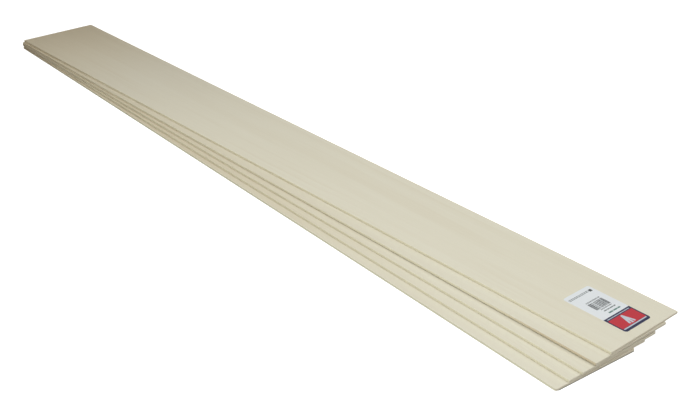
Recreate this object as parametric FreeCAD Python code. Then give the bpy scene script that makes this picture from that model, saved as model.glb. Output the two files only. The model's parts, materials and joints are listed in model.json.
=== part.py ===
import FreeCAD, Part
import os

# A fanned stack of thin wood sheets for model making, with a paper stock label on the top sheet.
#
# Frame, in millimetres: the origin is the middle of the bottom sheet's underside, +X runs along the
# grain towards the labelled end, the fan opens towards +Y, and +Z is up. The stack rests on Z = 0.

INCH = 25.4
UP = FreeCAD.Vector(0, 0, 1)

# ---- driving dimensions ----

# Stock sheets of 3/32 x 4 x 36 inches.
SHEET_LENGTH = 36 * INCH
SHEET_WIDTH = 4 * INCH
SHEET_THICKNESS = 3 / 32 * INCH
# Sawing and sanding leave every edge very slightly rounded.
EDGE_EASE = 0.2
# Wood sheets touch only at their high spots, so their faces lie this far apart on average.
AIR_GAP = 0.05

# The printed paper label, stuck flat on the top sheet and in line with it.
LABEL_LENGTH = 69.0
LABEL_WIDTH = 38.5
LABEL_THICKNESS = 0.1
LABEL_CORNER = 3.0
# From the label's end to the sheet's end, and from the sheet's centre line to the label's.
LABEL_END_MARGIN = 9.8
LABEL_SIDE_SHIFT = 3.9

BOTTOM = "bottom_sheet"
LABEL = "stock_label"
# How each sheet is turned from lying square on the one below it: its name, the turn in degrees, and
# the pole that it turns about, measured from the middle of the sheet below, along and across it.
FAN = (
    ("second_sheet", 0.98, -437.0, -26.0),
    ("third_sheet", 1.05, -370.0, 47.0),
    ("fourth_sheet", 0.98, -418.0, 22.0),
    ("top_sheet", 1.16, -567.0, -32.0),
)

PITCH = SHEET_THICKNESS + AIR_GAP


def eased_sheet():
    """One square sheet with its underside on Z = 0 and all twelve edges eased."""
    corner = FreeCAD.Vector(-SHEET_LENGTH / 2, -SHEET_WIDTH / 2, 0)
    blank = Part.makeBox(SHEET_LENGTH, SHEET_WIDTH, SHEET_THICKNESS, corner)
    return blank.makeFillet(EDGE_EASE, blank.Edges)


def label_blank():
    """The label with its round corners, on the top face of a sheet that lies square on Z = 0."""
    corner = FreeCAD.Vector(
        SHEET_LENGTH / 2 - LABEL_END_MARGIN - LABEL_LENGTH,
        LABEL_SIDE_SHIFT - LABEL_WIDTH / 2,
        SHEET_THICKNESS,
    )
    blank = Part.makeBox(LABEL_LENGTH, LABEL_WIDTH, LABEL_THICKNESS, corner)
    upright = [e for e in blank.Edges if e.Length < 2 * LABEL_THICKNESS]
    return blank.makeFillet(LABEL_CORNER, upright)


def fan_placements():
    """Each sheet's placement in the fanned stack: its own turn on top of the sheets' below it."""
    placements = {BOTTOM: FreeCAD.Placement()}
    below = placements[BOTTOM]
    for name, turn, pole_x, pole_y in FAN:
        swing = FreeCAD.Placement(
            FreeCAD.Vector(0, 0, 0), FreeCAD.Rotation(UP, turn), FreeCAD.Vector(pole_x, pole_y, 0)
        )
        lift = FreeCAD.Placement(FreeCAD.Vector(0, 0, PITCH), FreeCAD.Rotation())
        below = below.multiply(lift).multiply(swing)
        placements[name] = below
    return placements


def placed(shape, placement):
    """A copy of the shape, moved to its place in the stack."""
    copy = shape.copy()
    copy.Placement = placement.multiply(copy.Placement)
    return copy


def build_parts():
    """Every node of the stack by name: the sheets from the bottom up, then the label."""
    placements = fan_placements()
    sheet = eased_sheet()
    parts = {name: placed(sheet, place) for name, place in placements.items()}
    parts[LABEL] = placed(label_blank(), placements[FAN[-1][0]])
    return parts


def main():
    os.makedirs("parts", exist_ok=True)
    for name, shape in build_parts().items():
        solid = shape.Solids[0]
        box = solid.BoundBox
        solid.exportStep(f"parts/{name}.step")
        print(
            f"{name}: volume {solid.Volume / 1000:.2f} cm3, "
            f"x {box.XMin:.1f} to {box.XMax:.1f}, y {box.YMin:.1f} to {box.YMax:.1f}, "
            f"z {box.ZMin:.3f} to {box.ZMax:.3f}, valid {solid.isValid()}"
        )


main()
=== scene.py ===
# %% [markdown]
# # A fanned stack of wood modelling sheets
# Five thin boards of pale, straight-grained wood lie loose on each other, each turned about one
# degree from the board below, and the top one carries a printed paper label. The CAD model holds
# their sizes, places and turns. This lesson gives each board its real surface: eased edges, a long
# soft bow, grain that runs through the wood from face to edge to end, and ink on paper. Everything
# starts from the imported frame, so the first step is to load it and to note how large it is.

import json
import math

import bpy
import numpy as np
from mathutils import Matrix, Vector

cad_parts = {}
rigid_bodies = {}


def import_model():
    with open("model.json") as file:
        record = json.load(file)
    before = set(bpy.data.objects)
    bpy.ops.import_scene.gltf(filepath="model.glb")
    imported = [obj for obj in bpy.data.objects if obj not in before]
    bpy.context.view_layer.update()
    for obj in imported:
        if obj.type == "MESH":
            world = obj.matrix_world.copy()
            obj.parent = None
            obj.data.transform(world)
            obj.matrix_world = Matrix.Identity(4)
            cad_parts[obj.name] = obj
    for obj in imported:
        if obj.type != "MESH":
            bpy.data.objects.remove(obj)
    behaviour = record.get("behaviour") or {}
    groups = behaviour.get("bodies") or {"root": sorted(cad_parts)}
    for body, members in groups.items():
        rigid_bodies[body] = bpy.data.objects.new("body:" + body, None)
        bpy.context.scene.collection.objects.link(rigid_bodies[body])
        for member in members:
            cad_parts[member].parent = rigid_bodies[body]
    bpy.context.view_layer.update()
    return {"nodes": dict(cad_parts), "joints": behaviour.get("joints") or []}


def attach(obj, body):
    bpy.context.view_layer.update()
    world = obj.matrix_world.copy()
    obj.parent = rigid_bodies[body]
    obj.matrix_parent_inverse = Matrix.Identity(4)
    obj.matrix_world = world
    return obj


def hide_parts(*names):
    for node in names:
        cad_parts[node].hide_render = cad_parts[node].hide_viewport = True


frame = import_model()
MM = 0.001

# %% [markdown]
# ## Where each board lies
# A board is easiest to shape while it lies square, with its middle on the Z axis, and to put in its
# place afterwards. Each joint of the frame says how: its lower limit is the turn that squares the
# board up on the one below, so the turn the other way, about the same point, puts it back. Turns
# add up from the bottom board to the top one.

# %% The placement of every board
def turn_about(point, angle):
    """The move that turns everything by angle, in radians, about the upright line through point."""
    there = Matrix.Translation(Vector(point))
    return there @ Matrix.Rotation(angle, 4, "Z") @ there.inverted()


joints = frame["joints"]
bottom = joints[0]["parent"]
places = {bottom: Matrix.Identity(4)}
for joint in joints:
    turn = -math.radians(joint["range_deg"][0])
    places[joint["child"]] = turn_about(joint["pos_m"], turn) @ places[joint["parent"]]
top = joints[-1]["child"]
label = next(name for name in frame["nodes"] if name not in places)


def squared_box(node, place):
    """Lowest and highest corner of a CAD node once its board is turned back square."""
    back = place.inverted()
    points = np.array([back @ v.co for v in frame["nodes"][node].data.vertices])
    return points.min(0), points.max(0)


boxes = {name: squared_box(name, place) for name, place in places.items()}
LENGTH, WIDTH, THICKNESS = boxes[bottom][1] - boxes[bottom][0]
for name, (low, high) in boxes.items():
    size = (high - low) / MM
    print(f"{name}: {size[0]:.1f} x {size[1]:.1f} x {size[2]:.2f} mm, underside at {low[2] / MM:.2f} mm")

# %% [markdown]
# ## The board's surface
# A sawn and sanded board is a box whose edges have been eased by a fraction of a millimetre, and it
# is that thin rounded edge that catches the light. It could be a cube with a Bevel modifier, but a
# formula gives the same shape with lines of points where they are wanted: a few round each edge, and
# a few just inside, where the worn corners need them. The grid has one parameter along the board and
# one round its section. The mill has sanded a little off, so a board is thinner than its nominal size.

# %% A rounded board as a grid
EASE = 0.22 * MM
ARC_STEPS = 4
STATION_GAP = 6 * MM
LINE_GAP = 4 * MM
SANDED = 0.08 * MM
JUST_INSIDE = np.array([0.25, 0.6, 1.0, 1.5, 2.1]) * MM


def inner_lines(reach, gap):
    """Lines from one edge to the other, -reach to reach: a few just inside each, then even steps."""
    border = reach - JUST_INSIDE
    steps = np.linspace(-border[-1], border[-1], int(2 * reach / gap) + 1)
    return np.concatenate([-border[:-1], steps, border[-2::-1]])


def board_grid(length, width, thickness):
    """Points, faces and outward directions of one board with rounded edges, centred on the origin.

    A rounded board is a smaller sharp one with a ball of radius EASE rolled round it, so a point is
    core + EASE * away, with core on the small board. Round the section, away turns from -Y over +Z
    to +Y and back underneath. Over each end it also leans, by tip, from the section towards X.
    """
    half_x, half_y, half_z = length / 2 - EASE, width / 2 - EASE, thickness / 2 - EASE
    quarter = np.linspace(0, math.pi / 2, ARC_STEPS + 1)
    across = inner_lines(half_y, LINE_GAP)
    angle = np.concatenate([[math.pi], math.pi - quarter, 0 * across + math.pi / 2, quarter[::-1], [0]])
    core_y = np.concatenate([[-half_y], 0 * quarter - half_y, across, 0 * quarter + half_y, [half_y]])
    core_z = np.full(len(angle), half_z)
    core_z[[0, -1]] = 0
    upper = len(angle)
    angle = np.concatenate([angle, -angle[-2:0:-1]])
    core_y = np.concatenate([core_y, core_y[-2:0:-1]])
    core_z = np.concatenate([core_z, -core_z[-2:0:-1]])

    along = inner_lines(half_x, STATION_GAP)
    tip = np.concatenate([quarter[::-1], 0 * along, quarter])
    core_x = np.concatenate([0 * quarter - half_x, along, 0 * quarter + half_x])
    away = np.stack(
        [
            np.outer(np.sin(tip) * np.sign(core_x), 1 + 0 * angle),
            np.outer(np.cos(tip), np.cos(angle)),
            np.outer(np.cos(tip), np.sin(angle)),
        ],
        axis=-1,
    )
    flat = 0 * away[..., 0]
    core = np.stack([core_x[:, None] + flat, core_y + flat, core_z + flat], -1)
    points = core + EASE * away

    rows, ring = points.shape[:2]
    i, j = np.meshgrid(np.arange(rows - 1), np.arange(ring), indexing="ij")
    k = (j + 1) % ring
    here = i * ring
    ahead = here + ring
    walls = np.stack([here + j, ahead + j, ahead + k, here + k], -1).reshape(-1, 4)
    over = np.arange(upper)
    under = (ring - over) % ring
    strip = np.stack([over[:-1], under[:-1], under[1:], over[1:]], -1)
    last = (rows - 1) * ring
    caps = np.concatenate([strip[1:-1, ::-1], strip[1:-1] + last]).tolist()
    ends = [[0, over[1], under[1]], [upper - 1, under[-2], over[-2]]]
    caps += [[int(v) for v in face] for face in ends]
    caps += [[int(v) + last for v in face[::-1]] for face in ends]
    return points.reshape(-1, 3), walls.tolist() + caps, away.reshape(-1, 3)


raw_points, raw_faces, raw_away = board_grid(LENGTH, WIDTH, THICKNESS - SANDED)
print("the grid of one board:", len(raw_points), "points,", len(raw_faces), "faces")

# %% [markdown]
# ## Welding the grid
# At the very ends the arc round each long edge shrinks to one spot, so several points of the grid
# coincide there and the faces between them have no area. Blender's Merge by Distance would mend
# that. Rounding the points and keeping each spot once does the same in one whole-array step.

# %% One point for each spot
def welded(points, faces, away):
    """The same surface with points that coincide made one, and no face that has shrunk to a line."""
    spots = np.round(points / MM, 6)
    _, first, same = np.unique(spots, axis=0, return_index=True, return_inverse=True)
    same = same.ravel().tolist()
    faces = [list(dict.fromkeys(same[point] for point in face)) for face in faces]
    return points[first], [face for face in faces if len(face) > 2], away[first]


points, faces, away = welded(raw_points, raw_faces, raw_away)
points[:, 2] += SANDED / 2
print("one board, welded:", len(points), "points,", len(faces), "faces")

# %% [markdown]
# ## Worn corners
# Handling rounds the four corners of each board in plan. Inside the small square at a corner, every
# point is drawn in towards the square's inner corner until the square's outer sides lie on a quarter
# circle. Most corners have a radius of 0.6 to 0.9 millimetres; two have had a knock.

# %% Rounding the corners in plan, radii in millimetres
WEAR = dict.fromkeys(places, {(-1, -1): 0.6, (1, -1): 0.6, (1, 1): 0.7, (-1, 1): 0.6})
WEAR[bottom] = {(-1, -1): 0.8, (1, -1): 2.3, (1, 1): 0.9, (-1, 1): 0.7}
WEAR[top] = {(-1, -1): 0.7, (1, -1): 1.1, (1, 1): 0.8, (-1, 1): 0.7}


def worn(points, name):
    """Points of a squared-up board with its corners rounded. With p measured from the centre of the
    corner's circle, p' = p * max(px, py) / |p| turns a square round the centre into a circle."""
    rounded_off = points.copy()
    for (side_x, side_y), radius in WEAR[name].items():
        centre = np.array([side_x * (LENGTH / 2 - radius * MM), side_y * (WIDTH / 2 - radius * MM)])
        p = (rounded_off[:, :2] - centre) * (side_x, side_y)
        near = (p > 0).all(axis=1)
        shrink = p[near].max(axis=1) / np.linalg.norm(p[near], axis=1)
        rounded_off[near, :2] = centre + p[near] * shrink[:, None] * (side_x, side_y)
    return rounded_off


for name, radii in WEAR.items():
    print(f"{name}: corners of {min(radii.values())} to {max(radii.values())} mm")

# %% [markdown]
# ## Bow
# Thin wood is never quite flat. A board rests on the few high spots of the one below, so a hair of
# air shows as a fine dark seam at each step, and more of it at the far end. The lower boards lie
# pressed down on the table, and the upper two bow up towards the labelled end, which opens the dark
# gap between the third board and the fourth. Each board also bends sideways a little. The lift never
# falls from one board to the next, so none cuts into another when the fan opens or closes.

# %% The lift and the sideways bend of each board
SEAM = 0.05 * MM
LIFTS = dict(zip(places, (0.0, 0.03 * MM, 0.06 * MM, 0.95 * MM, 1.0 * MM)))
BENDS = dict(zip(places, (0.2 * MM, -0.25 * MM, 0.3 * MM, -0.2 * MM, 0.25 * MM)))
BOW_FROM = -0.4
BOW_POWER = 1.2


def bowed(points, name):
    """Points of a squared-up board, lifted and bent. With way from -1 at the far end to 1 at the
    labelled one, the seams add up as SEAM * level * (1 + 2 far^2), the bow grows from BOW_FROM as a
    power of the distance, and the sideways bend is an arch from end to end."""
    way = points[:, 0] / (LENGTH / 2)
    far = np.clip(-way, 0, None)
    past = np.clip((way - BOW_FROM) / (1 - BOW_FROM), 0, None)
    level = list(places).index(name)
    bent = points.copy()
    bent[:, 2] += SEAM * level * (1 + 2 * far**2) + LIFTS[name] * past**BOW_POWER
    bent[:, 1] += BENDS[name] * (1 / 3 - way**2)
    return bent


def in_place(points, name):
    """Points of a squared-up board, moved to that board's place in the stack."""
    place = np.array(places[name])
    return points @ place[:3, :3].T + place[:3, 3]


for name in places:
    middle_line = np.column_stack([points[:, 0], 0 * points[:, 0], 0 * points[:, 0]])
    print(f"{name}: lifted by up to {bowed(middle_line, name)[:, 2].max() / MM:.2f} mm")

# %% [markdown]
# ## Making a piece
# Every piece goes through one function: it puts points and faces into a mesh, stores what the
# material wants to know about each point, gives the piece its finish, hangs it on the body that it
# rides on, and hides the CAD node that it stands for.

# %% From arrays to a piece of the model
def make_piece(name, points, faces, finish, body, replaced=(), attributes=None, smooth=True):
    """Makes a mesh object from points in metres and faces, and fits it to the frame."""
    mesh = bpy.data.meshes.new(name)
    mesh.from_pydata(points.tolist(), [], faces)
    mesh.polygons.foreach_set("use_smooth", [smooth] * len(mesh.polygons))
    for key, values in (attributes or {}).items():
        mesh.attributes.new(key, "FLOAT", "POINT").data.foreach_set("value", values.astype(np.float32))
    mesh.materials.append(finish)
    mesh.update()
    piece = bpy.data.objects.new(name, mesh)
    bpy.context.scene.collection.objects.link(piece)
    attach(piece, body)
    if replaced:
        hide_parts(*replaced)
    print(f"{name}: {len(mesh.vertices)} points, {len(mesh.polygons)} faces, on {body}")


# %% [markdown]
# ## Writing a finish as formulas
# A procedural material is a formula of where a point lies. Node by node it takes pages, so two small
# classes write it in Python: arithmetic on a Wire adds Math nodes, and Finish.node adds any other
# node, its settings first and then its inputs.

# %% Wires and finishes
class Wire:
    """One output socket. Arithmetic on it adds Math nodes to its finish."""

    def __init__(self, finish, socket):
        self.finish = finish
        self.socket = socket

    def math(self, operation, *values):
        """A Math node of this operation on these values, which may be wires or numbers."""
        return self.finish.node("ShaderNodeMath", {"operation": operation}, dict(enumerate(values)))

    def __add__(self, other):
        return self.math("ADD", self, other)

    def __sub__(self, other):
        return self.math("SUBTRACT", self, other)

    def __rsub__(self, other):
        return self.math("SUBTRACT", other, self)

    def __mul__(self, other):
        return self.math("MULTIPLY", self, other)

    def __truediv__(self, other):
        return self.math("DIVIDE", self, other)

    def __pow__(self, other):
        return self.math("POWER", self, other)

    def __mod__(self, other):
        return self.math("FLOORED_MODULO", self, other)

    __radd__ = __add__
    __rmul__ = __mul__

    def rise(self, low, high):
        """0 below low, 1 above high, and a smooth step between."""
        settings = {"interpolation_type": "SMOOTHSTEP"}
        return self.finish.node("ShaderNodeMapRange", settings, {0: self, 1: low, 2: high})


class Finish:
    """A material while it is being wired up. Its patterns read millimetres in a board's own frame."""

    def __init__(self, name, place):
        self.material = bpy.data.materials.new(name)
        self.material.use_nodes = True
        self.tree = self.material.node_tree
        self.tree.nodes.clear()
        back = place.inverted()
        where = self.node("ShaderNodeTexCoord", output="Object")
        mapping = {"Location": back.translation / MM, "Rotation": back.to_euler(), "Scale": (1 / MM,) * 3}
        self.where = self.node("ShaderNodeMapping", {"vector_type": "POINT"}, {"Vector": where, **mapping})

    def node(self, kind, settings=None, inputs=None, output=0):
        """Adds a node: settings first, then a number, a colour or a wire for each input."""
        made = self.tree.nodes.new(kind)
        for key, value in (settings or {}).items():
            setattr(made, key, value)
        for key, value in (inputs or {}).items():
            if isinstance(value, Wire):
                self.tree.links.new(value.socket, made.inputs[key])
            else:
                made.inputs[key].default_value = value
        return Wire(self, made.outputs[output] if made.outputs else None)

    def axes(self):
        """Three wires: along the board, across it and up through it, in millimetres."""
        return [self.node("ShaderNodeSeparateXYZ", None, {0: self.where}, output=k) for k in range(3)]

    def noise(self, grain, detail=2.0, shift=0.0):
        """Soft noise from 0 to 1 whose blobs are grain = (length, breadth, depth) millimetres large."""
        sizes = {"Location": (shift, shift, shift), "Scale": tuple(1 / g for g in grain)}
        where = self.node("ShaderNodeMapping", {"vector_type": "POINT"}, {"Vector": self.where, **sizes})
        return self.node("ShaderNodeTexNoise", None, {"Vector": where, "Scale": 1.0, "Detail": detail})

    def stored(self, name):
        """What a mesh stores for each point under this name."""
        return self.node("ShaderNodeAttribute", {"attribute_name": name}, output="Fac")

    def mix(self, share, first, second):
        """A colour between two others."""
        return self.node("ShaderNodeMix", {"data_type": "RGBA"}, {0: share, 6: first, 7: second}, output=2)

    def surface(self, relief=None, depth=0.0, **inputs):
        """Ends the finish in a Principled shader, with an optional relief that is depth mm deep."""
        inputs = {key.replace("_", " "): value for key, value in inputs.items()}
        if relief is not None:
            bump = {"Strength": 1.0, "Distance": depth * MM, "Height": relief}
            inputs["Normal"] = self.node("ShaderNodeBump", None, bump)
        shader = self.node("ShaderNodeBsdfPrincipled", None, inputs)
        self.node("ShaderNodeOutputMaterial", None, {"Surface": shader})
        return self.material


# %% [markdown]
# ## Basswood
# The sheets look like basswood, or lime: cream-white, very even, with faint growth rings and fine
# fibres. An image wrapped round the board would break at every edge. Here the colour is worked out
# in the solid instead, as in a real trunk: rings are cylinders round a far-off pith, drawn out along
# the board, and each board is cut from another part of the trunk. So a ring that crosses the broad
# face turns the corner and comes out on the end. Cut ends drink in light and look darker, and the
# sawn long edges are a little yellower than the sanded faces. Shade is painted into the colour too:
# painted shade and warm bounce light as tan on a narrow strip along one side of the lower boards, in
# the corner of each step; painted shade as tan on the long edges at the far end, with a painted warm
# tint of the half shade on its faces; and painted shade as tan on the fourth board's edge at the
# labelled end, beside the gap under it. Every length is in millimetres, and a size of noise is
# (length, breadth, depth).

# %% Colours, and how large the grain is
PALE = (0.815, 0.768, 0.640, 1)
TAN = (0.660, 0.560, 0.400, 1)
END_GRAIN = (0.775, 0.705, 0.575, 1)
SAWN_EDGE = (0.800, 0.752, 0.575, 1)
# Painted warm tint of the half shade at the far end.
HALF_SHADE_TINT = (0.920, 0.800, 0.550, 1)
RING_GAP = 3.2
PITH_WANDER = 26
RELIEF_DEPTH = 0.012
WANDER = (230, 70, 70)
CLEAR_PATCH = (170, 16, 16)
STREAK = (150, 2.4, 2.4)
CLOUD = (120, 30, 30)
FIBRE = (22, 0.35, 0.35)
FLECK = (2.2, 0.16, 0.16)
SAW_MARK = (1.6, 40, 6)
PITHS = dict(zip(places, ((-30, -95), (70, -60), (25, -120), (-75, -70), (12, -105))))
SEED_STEP = 17.0
print("rings", RING_GAP, "mm apart; pith of each board, mm:", PITHS)

# %% Where shade is painted into the colour
# Painted shade and warm bounce light in the step corners: how far the strip reaches in from the side, and
# where it fades along the board.
STEP_SHADE_WIDTH = (11, 18)
STEP_SHADE_FADES = (-250, 420)
# Painted warm tint of the half shade at the far end: where it fades along the board.
HALF_SHADE_TINT_FADES = (-500, -230)
# Painted shade on the long edges at the far end: where it fades along the board.
FAR_EDGE_SHADE_FADES = (-480, -220)
# Painted shade on the fourth board's edge beside the gap under it: where it grows along the board.
GAP_SHADE_GROWS = (320, 410)
# Each board's share of the painted shade: in the step corner, on the far end's long edges, and beside the
# gap.
STEP_SHADE_SHARE = dict(zip(places, (0.65, 0.7, 0.65, 0.4, 0.0)))
FAR_EDGE_SHADE_SHARE = dict(zip(places, (1.0, 0.35, 0.7, 0.8, 0.6)))
GAP_SHADE_SHARE = dict(zip(places, (0.0, 0.0, 0.0, 0.9, 0.0)))
print("share of tan on the bare strips:", STEP_SHADE_SHARE)
print("share of tan on the long edges at the far end:", FAR_EDGE_SHADE_SHARE)

# %% The wood of one board
def board_wood(name, seed, pith):
    """Pale wood from a trunk whose pith runs along X at pith = (sideways, up) millimetres.

    ring = distance from the pith / RING_GAP, after the pith has wandered by soft noise. The late
    wood of each ring darkens slowly and ends sharply. Streaks, fibres and flecks are noise drawn
    out along the grain, and every term adds its own small share of tan to the pale ground. So does
    step_shade, painted shade and warm bounce light in the corner of each step: the board's share in
    STEP_SHADE_SHARE along its -Y side at the far end, which fades inwards and towards the label. The
    sawn edges get painted shade at the far end and beside the fourth board's gap, and the far end a
    painted warm tint of its half shade.
    """
    wood = Finish(f"{name}_wood", places[name])
    along, across, up = wood.axes()
    wander = wood.noise(WANDER, shift=seed) - 0.5
    sideways = across - pith[0] + wander * PITH_WANDER
    deep = up - pith[1]
    ring = (sideways**2 + deep**2) ** 0.5 / RING_GAP
    way = ring % 1
    late = way.rise(0.2, 0.88) * (1 - way.rise(0.9, 1.0))
    clear = wood.noise(CLEAR_PATCH, shift=seed + 3).rise(0.35, 0.7)
    streaks = wood.noise(STREAK, detail=3, shift=seed + 5) - 0.5
    clouds = wood.noise(CLOUD, shift=seed + 7) - 0.5
    fibres = wood.noise(FIBRE, detail=3, shift=seed + 9)
    flecks = wood.noise(FLECK, shift=seed + 11).rise(0.62, 0.76)
    from_side = across + WIDTH / 2 / MM
    # Painted shade and warm bounce light in the corner of each step.
    step_shade = (1 - from_side.rise(*STEP_SHADE_WIDTH)) * (1 - along.rise(*STEP_SHADE_FADES)) * STEP_SHADE_SHARE[name]
    share = 0.1 + step_shade + late * clear * 0.12 + streaks * 0.2 + clouds * 0.16
    share = share + (fibres - 0.5) * 0.14 + flecks * 0.06
    end = wood.stored("end_grain")
    sawn = wood.stored("sawn_edge")
    colour = wood.mix(share, PALE, TAN)
    # Painted warm tint of the half shade at the far end.
    colour = wood.mix((1 - along.rise(*HALF_SHADE_TINT_FADES)) * 0.5, colour, HALF_SHADE_TINT)
    colour = wood.mix(sawn * 0.92, colour, SAWN_EDGE)
    # Painted shade on the sawn long edges at the far end.
    far_edge_shade = (1 - along.rise(*FAR_EDGE_SHADE_FADES)) * FAR_EDGE_SHADE_SHARE[name]
    # Painted shade on the fourth board's sawn edge, beside the gap under it.
    gap_shade = along.rise(*GAP_SHADE_GROWS) * GAP_SHADE_SHARE[name]
    colour = wood.mix(sawn * (far_edge_shade + gap_shade), colour, TAN)
    colour = wood.mix(end * (0.75 + late * 0.2), colour, END_GRAIN)
    saw_marks = wood.noise(SAW_MARK, detail=1, shift=seed + 13)
    relief = fibres * 0.6 + late * 0.25 + saw_marks * sawn
    return wood.surface(
        relief, RELIEF_DEPTH, Base_Color=colour, Roughness=0.56 + fibres * 0.12 + end * 0.15, IOR=1.45
    )


for number, name in enumerate(places):
    low, high = boxes[name]
    raised = worn(points, name) + (low + high) / 2
    wood = board_wood(name, SEED_STEP * number, PITHS[name])
    marks = {"sawn_edge": np.abs(away[:, 1]), "end_grain": np.abs(away[:, 0])}
    laid = in_place(bowed(raised, name), name)
    make_piece(f"{name}_board", laid, faces, wood, name, (name,), marks)

# %% [markdown]
# ## Paper and ink
# The label is a slip of coated paper. Print could be painted on it by a pattern, but then it would be
# only as sharp as any picture that the pattern is baked into. Here each ink is a film with its own
# outline, about a hundredth of a millimetre thick, so a thin bar stays thin from close by. The
# printing is generic: bars, dashes in place of words, and a small fan of boards as a motif.

# %% Outlines and films
PAPER_CORNER = 3.0
INK = 0.012
label_low, label_high = squared_box(label, places[top])
LABEL_SIZE = (label_high - label_low) / MM
print("label, mm:", [round(float(v), 2) for v in LABEL_SIZE])


def rounded(low, high, radius=(0, 0, 0, 0)):
    """The outline of a rectangle from low to high with a round corner of each radius, in order from
    the low corner anticlockwise: the corner's centre, plus the radius times a direction."""
    outline = []
    for k, r in enumerate(radius):
        turn = np.linspace(k + 2, k + 3, 9 if r else 1) * math.pi / 2
        centre_x = (low[0] + r, high[0] - r)[k in (1, 2)]
        centre_y = (low[1] + r, high[1] - r)[k // 2]
        outline.append(np.stack([centre_x + r * np.cos(turn), centre_y + r * np.sin(turn)], -1))
    return np.concatenate(outline)


def films(outlines, base, thickness):
    """Closed flat slabs on the label, as points and faces. An outline is in millimetres from the
    label's far corner, and base is how high above the board the slabs start, or each of them."""
    points, faces, first = [], [], 0
    for outline, start in zip(outlines, np.broadcast_to(base, len(outlines))):
        count = len(outline)
        for height in (start, start + thickness):
            points.append(np.column_stack([outline, np.full(count, height)]))
        ring = np.arange(count)
        after = (ring + 1) % count
        faces += (np.stack([ring, after, after + count, ring + count], -1) + first).tolist()
        faces += [(ring[::-1] + first).tolist(), (ring + count + first).tolist()]
        first += 2 * count
    points = np.concatenate(points) * MM + label_low
    return in_place(bowed(points, top), top), faces


def film_piece(name, outlines, base, thickness, finish):
    """One ink, or the paper itself, as a piece on the top board."""
    where, faces = films(outlines, base, thickness)
    replaced = (label,) if name == "label_paper" else ()
    make_piece(name, where, faces, finish, top, replaced, smooth=False)


def print_finish(name, colour, roughness, mottle):
    """Flat colour with a faint mottle: ink lies unevenly on paper fibres."""
    ink = Finish(name, places[top])
    blotches = ink.noise((0.6, 0.6, 0.6), detail=4) - 0.5
    dark = tuple(c * (1 - mottle) for c in colour) + (1,)
    share = blotches * 1.5 + 0.5
    shade = ink.mix(share, colour + (1,), dark)
    return ink.surface(blotches, 0.01, Base_Color=shade, Roughness=roughness + blotches * 0.1, IOR=1.5)


PAPER_THICKNESS = LABEL_SIZE[2]
white = print_finish("coated_paper", (0.86, 0.88, 0.92), 0.42, 0.04)
sheet = rounded((0, 0), LABEL_SIZE[:2], (PAPER_CORNER,) * 4)
film_piece("label_paper", [sheet], 0.0, PAPER_THICKNESS, white)

# %% [markdown]
# ## The printed side
# The words on such a label run across the board. Near the far edge is a block of small print with a
# small square beside it, then the bar code with its figures, and two lines of larger print. Everything
# is placed by its distance from the label's far corner, and comes from one seeded draw, so that the
# dashes and bars are the same each time.

# %% Bars and dashes
rng = np.random.default_rng(5)


def dashes(along, start, end, thick, longest):
    """Greeked words: dashes across the board at one place along it, of uneven length, with gaps."""
    marks, at = [], start
    while at < end - thick:
        reach = min(at + rng.uniform(0.35, 1) * longest, end)
        marks.append(rounded((along, at), (along + thick, reach)))
        at = reach + thick * 0.45
    return marks


def bar_code(low, high, module):
    """Bars that run along the board, one to four modules wide, with gaps of one to three."""
    bars, at = [], low[1]
    while at < high[1] - 4 * module:
        wide = module * rng.integers(1, 5)
        bars.append(rounded((low[0], at), (high[0], at + wide)))
        at += wide + module * rng.integers(1, 4)
    return bars


small_print = [d for row in range(2) for d in dashes(4.9 + 1.5 * row, 2.0, 30.0, 0.8, 4.0)]
dot = rounded((4.7, 31.2), (8.1, 35.0), (0.8,) * 4)
code = bar_code((20.4, 9.6), (31.2, 31.4), 0.26)
figures = dashes(17.6, 10.5, 31.0, 1.6, 1.3) + dashes(32.2, 13.0, 29.5, 1.2, 1.3)
first_line = dashes(35.4, 13.4, 31.8, 1.3, 6.5)
second_line = dashes(39.6, 14.6, 31.4, 1.7, 7.5)

black = print_finish("black_ink", (0.075, 0.085, 0.09), 0.5, 0.3)
grey = print_finish("grey_ink", (0.24, 0.27, 0.28), 0.5, 0.3)
green = print_finish("green_ink", (0.16, 0.30, 0.27), 0.5, 0.3)
film_piece("label_small_print", small_print, PAPER_THICKNESS, INK, grey)
film_piece("label_dot", [dot], PAPER_THICKNESS, INK, black)
film_piece("label_bar_code", code + figures, PAPER_THICKNESS, INK, black)
film_piece("label_first_line", first_line, PAPER_THICKNESS, INK, grey)
film_piece("label_second_line", second_line, PAPER_THICKNESS, INK, green)

# %% [markdown]
# ## The coloured panel
# The end of the label is printed in three passes: a dark blue panel, a red field in it, and a pale
# strip, a line of print and the motif. Two films in one plane would flicker, so each pass lies on
# top of the one below, and each board of the motif, where they cross, a film's thickness higher.

# %% The panel, its field and its motif
PANEL_START = 44.8
end_x, end_y = LABEL_SIZE[:2]
panel = rounded((PANEL_START, 0), (end_x, end_y), (0, PAPER_CORNER, PAPER_CORNER, 0))
field = rounded((PANEL_START + 3.8, 1.6), (end_x - 4.6, end_y - 1.6))
margin = rounded((end_x - 4.3, 2.4), (end_x - 3.0, end_y - 2.4), (0, 0.5, 0.5, 0))
tagline = dashes(PANEL_START + 1.7, 3.0, end_y - 3.0, 0.9, 4.5)


def fan_motif(pivot, length, width, angles):
    """Slim boards fanned about one point: each is a rectangle turned by its angle about the pivot."""
    board = rounded((0, -width / 2), (length, width / 2))
    turned = []
    for angle in np.radians(angles):
        turn = np.array([[np.cos(angle), -np.sin(angle)], [np.sin(angle), np.cos(angle)]])
        turned.append(board @ turn.T + pivot)
    return turned


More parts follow.
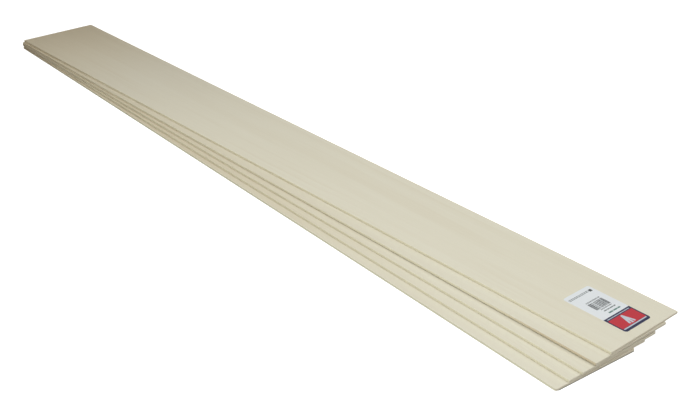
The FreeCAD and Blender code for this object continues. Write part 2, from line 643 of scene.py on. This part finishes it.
motif = fan_motif((PANEL_START + 5.2, end_y / 2), 13.2, 2.3, (-17, 0, 17))
navy = print_finish("navy_ink", (0.030, 0.035, 0.10), 0.38, 0.2)
red = print_finish("red_ink", (0.62, 0.035, 0.055), 0.38, 0.12)
pale = print_finish("pale_ink", (0.62, 0.67, 0.76), 0.4, 0.08)
film_piece("label_panel", [panel], PAPER_THICKNESS, INK, navy)
film_piece("label_field", [field], PAPER_THICKNESS + INK, INK, red)
film_piece("label_margin", [margin] + tagline, PAPER_THICKNESS + INK, INK, pale)
film_piece("label_motif", motif, PAPER_THICKNESS + INK * np.array([2, 3, 4]), INK, pale)

# %% [markdown]
# ## The table
# A plain matt table throws some of its light back up on the edges and ends. The ground should look
# pure white, but light enough for that would flatten the boards. So a glow that only the camera sees
# lies just above the table and turns it white, and a round wall does the same for the horizon.

# %% The table and its white glow
STAGE_RADIUS = 12.0
TABLE_AT = -0.2 * MM
TABLE_SHADE = 0.6
TABLE_WARMTH = 0.97
MATT = 0.9
GLOW_AT = -0.1 * MM
GLOW = 1.0
BACKDROP = 12.0


def studio_piece(name, points, faces, finish):
    """A mesh object that belongs to the studio and not to the model."""
    mesh = bpy.data.meshes.new(name)
    mesh.from_pydata(points, [], faces)
    mesh.materials.append(finish)
    made = bpy.data.objects.new(name, mesh)
    bpy.context.scene.collection.objects.link(made)
    print(f"{name}: {len(points)} points, {len(faces)} faces, in the studio only")
    return made


def disc(name, radius, height, finish, wall=0.0):
    """A round, flat surface that faces up, with a round wall that faces inwards if it is wanted. The
    rim is radius times a direction that turns once round."""
    turn = np.linspace(0, 2 * math.pi, 97)[:-1]
    rim = np.column_stack([radius * np.cos(turn), radius * np.sin(turn), 0 * turn + height])
    points, faces = rim.tolist(), [list(range(len(rim)))]
    if wall:
        k = np.arange(len(rim))
        after = (k + 1) % len(rim)
        points += (rim + (0, 0, wall)).tolist()
        faces += np.stack([after, k, k + len(rim), after + len(rim)], -1).tolist()
    return studio_piece(name, points, faces, finish)


table_colour = (TABLE_SHADE, TABLE_SHADE, TABLE_SHADE * TABLE_WARMTH, 1)
table_finish = Finish("table", Matrix.Identity(4))
disc("table", STAGE_RADIUS, TABLE_AT, table_finish.surface(Base_Color=table_colour, Roughness=MATT))

glow_finish = Finish("glow", Matrix.Identity(4))
light = glow_finish.node("ShaderNodeEmission", None, {"Color": (1, 1, 1, 1), "Strength": GLOW})
clear = glow_finish.node("ShaderNodeBsdfTransparent")
both = glow_finish.node("ShaderNodeAddShader", None, {0: light, 1: clear})
glow_finish.node("ShaderNodeOutputMaterial", None, {"Surface": both})
glow = disc("glow", STAGE_RADIUS, GLOW_AT, glow_finish.material, wall=BACKDROP)
glow.visible_diffuse = False
glow.visible_glossy = False
glow.visible_transmission = False
glow.visible_shadow = False

# %% [markdown]
# ## A contact shadow
# The glow bleaches the shadow under the boards too. So a slip of grey card lies under the labelled
# half of the bottom board, where the shadow is darkest, and shows by less than half a millimetre.

# %% A slip of grey card
CARD_AT = -0.05 * MM
CARD_SHADE = 0.2
CARD_SHOWS = 0.4 * MM
CARD_INSET = 3 * MM


def card(name, low, high, height, finish):
    """A flat rectangle that faces up."""
    corners = [(low[0], low[1]), (high[0], low[1]), (high[0], high[1]), (low[0], high[1])]
    studio_piece(name, [(x, y, height) for x, y in corners], [(0, 1, 2, 3)], finish)


card_finish = Finish("grey_card", Matrix.Identity(4))
card_finish.surface(Base_Color=(CARD_SHADE, CARD_SHADE, CARD_SHADE, 1), Roughness=MATT)
low, high = boxes[bottom]
card_high = (high[0] + CARD_SHOWS, high[1] - MM)
card("contact_card", (0, low[1] + CARD_INSET), card_high, CARD_AT, card_finish.material)

# %% [markdown]
# ## Light
# Pale wood on white needs gentle light with a direction, or its steps vanish. One large softbox
# hangs low over the boards, like the roof of a light tent. It leans, so that it is lowest at the
# near side and highest beyond the boards, and it stops short of the far end, which falls into half
# shade. Two narrow fills stand on the table, one past the far end and one behind the boards. They
# are so low that they light the sides that face away from the camera and only graze the rest. The
# room itself adds a very faint warm light.

# %% Lights and the room
FILL_HEIGHT = 0.05
FILL_AT = 0.03
FILL_COLOUR = (1.0, 0.97, 0.93)
ROOM_COLOUR = (0.07, 0.03, 0.01, 1)


def softbox(name, centre, turn, size, watts, colour):
    """A rectangular area light. Unturned, it shines straight down; turn is in degrees about X, then
    Y, then Z."""
    lamp = bpy.data.lights.new(name, "AREA")
    lamp.shape = "RECTANGLE"
    lamp.size, lamp.size_y = size
    lamp.energy = watts
    lamp.color = colour
    holder = bpy.data.objects.new(name, lamp)
    holder.location = centre
    holder.rotation_euler = np.radians(turn)
    holder.visible_camera = False
    bpy.context.scene.collection.objects.link(holder)
    print(f"{name}: {size[0]} x {size[1]} m, {watts} W")


softbox("tent_softbox", (0.30, 0.316, 0.43), (25.9, 10.55, -8.35), (1.28, 1.6), 6.65, (0.942, 1.012, 1.007))
softbox("far_fill", (-1.3, 0.03, FILL_AT), (0, -90, 0), (FILL_HEIGHT, 0.8), 2.3, FILL_COLOUR)
softbox("back_fill", (-0.2, 1.2, FILL_AT), (-90, 0, 0), (1.6, FILL_HEIGHT), 5.2, FILL_COLOUR)

world = bpy.data.worlds.new("room")
world.use_nodes = True
room = world.node_tree.nodes["Background"]
room.inputs["Color"].default_value = ROOM_COLOUR
room.inputs["Strength"].default_value = 1.0
bpy.context.scene.world = world
bpy.context.scene.view_settings.view_transform = "Standard"

# %% [markdown]
# ## The camera
# The camera stands off the labelled end, to the near side, and looks down along the boards at the
# whole fan. It is turned about the upright, dipped below the horizon, and tilted a little about its
# own line of sight. Its place is in metres and its lens in millimetres.

# %% The camera
CAMERA_AT = (0.9744, -0.7526, 0.6040)
CAMERA_TURN = math.radians(48.12)
CAMERA_DIP = math.radians(27.63)
CAMERA_TILT = math.radians(3.74)
CAMERA_LENS = 65.41
camera_data = bpy.data.cameras.new("camera")
camera_data.lens = CAMERA_LENS
camera = bpy.data.objects.new("camera", camera_data)
aim = Matrix.Rotation(CAMERA_TURN, 4, "Z") @ Matrix.Rotation(math.pi / 2 - CAMERA_DIP, 4, "X")
camera.matrix_world = Matrix.Translation(CAMERA_AT) @ aim @ Matrix.Rotation(CAMERA_TILT, 4, "Z")
bpy.context.scene.collection.objects.link(camera)
bpy.context.scene.camera = camera
print("camera:", CAMERA_LENS, "mm lens,", round(Vector(CAMERA_AT).length, 2), "m from the origin")
